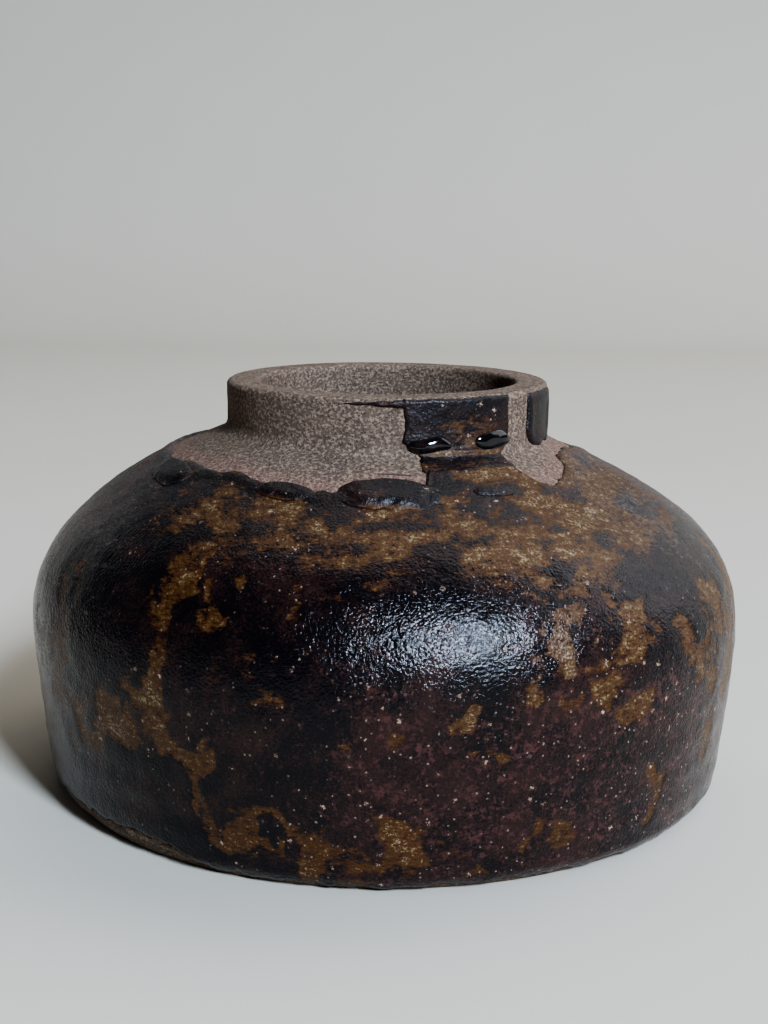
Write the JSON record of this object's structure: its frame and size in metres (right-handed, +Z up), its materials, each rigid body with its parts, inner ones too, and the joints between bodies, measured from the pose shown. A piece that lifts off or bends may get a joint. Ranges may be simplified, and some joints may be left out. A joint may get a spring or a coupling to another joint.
{
  "type": "glazed clay pot",
  "caption": "Squat wheel-thrown clay pot with a short open neck, dark run glaze over the body, a bare clay band below the neck and splashes on the rim.",
  "frame": {"origin": "centre of the foot, in the plane that the pot stands on", "axes": "+Z up along the turning axis; -Y is the front, where the glaze splash runs down from the neck; +X is to the right seen from the front"},
  "size_m": [0.108, 0.108, 0.061],
  "materials": {
    "clay": "bare fired stoneware clay, grogged and speckled, matt",
    "slip": "fired joining slip, matt",
    "glaze": "dark brown to black iron glaze, satin to glossy, with amber breaks",
    "thin_glaze": "thin brown glaze, satin"
  },
  "bodies": {
    "root": {"floor_slab": "clay", "foot_joint_slip": "slip", "lower_bowl": "clay", "belly_joint_slip": "slip", "upper_bowl": "clay", "neck_joint_slip": "slip", "neck_ring": "clay", "neck_joint_coil": "clay", "lining_glaze": "thin_glaze", "mouth_glaze_streak": "thin_glaze", "outer_glaze": "glaze", "neck_glaze_splash": "glaze", "splash_pool_left": "glaze", "splash_pool_right": "glaze", "neck_glaze_run": "glaze", "glaze_roll_side": "glaze", "glaze_roll_small": "glaze", "glaze_roll_large": "glaze", "glaze_roll_thin": "glaze"}
  },
  "joints": []
}
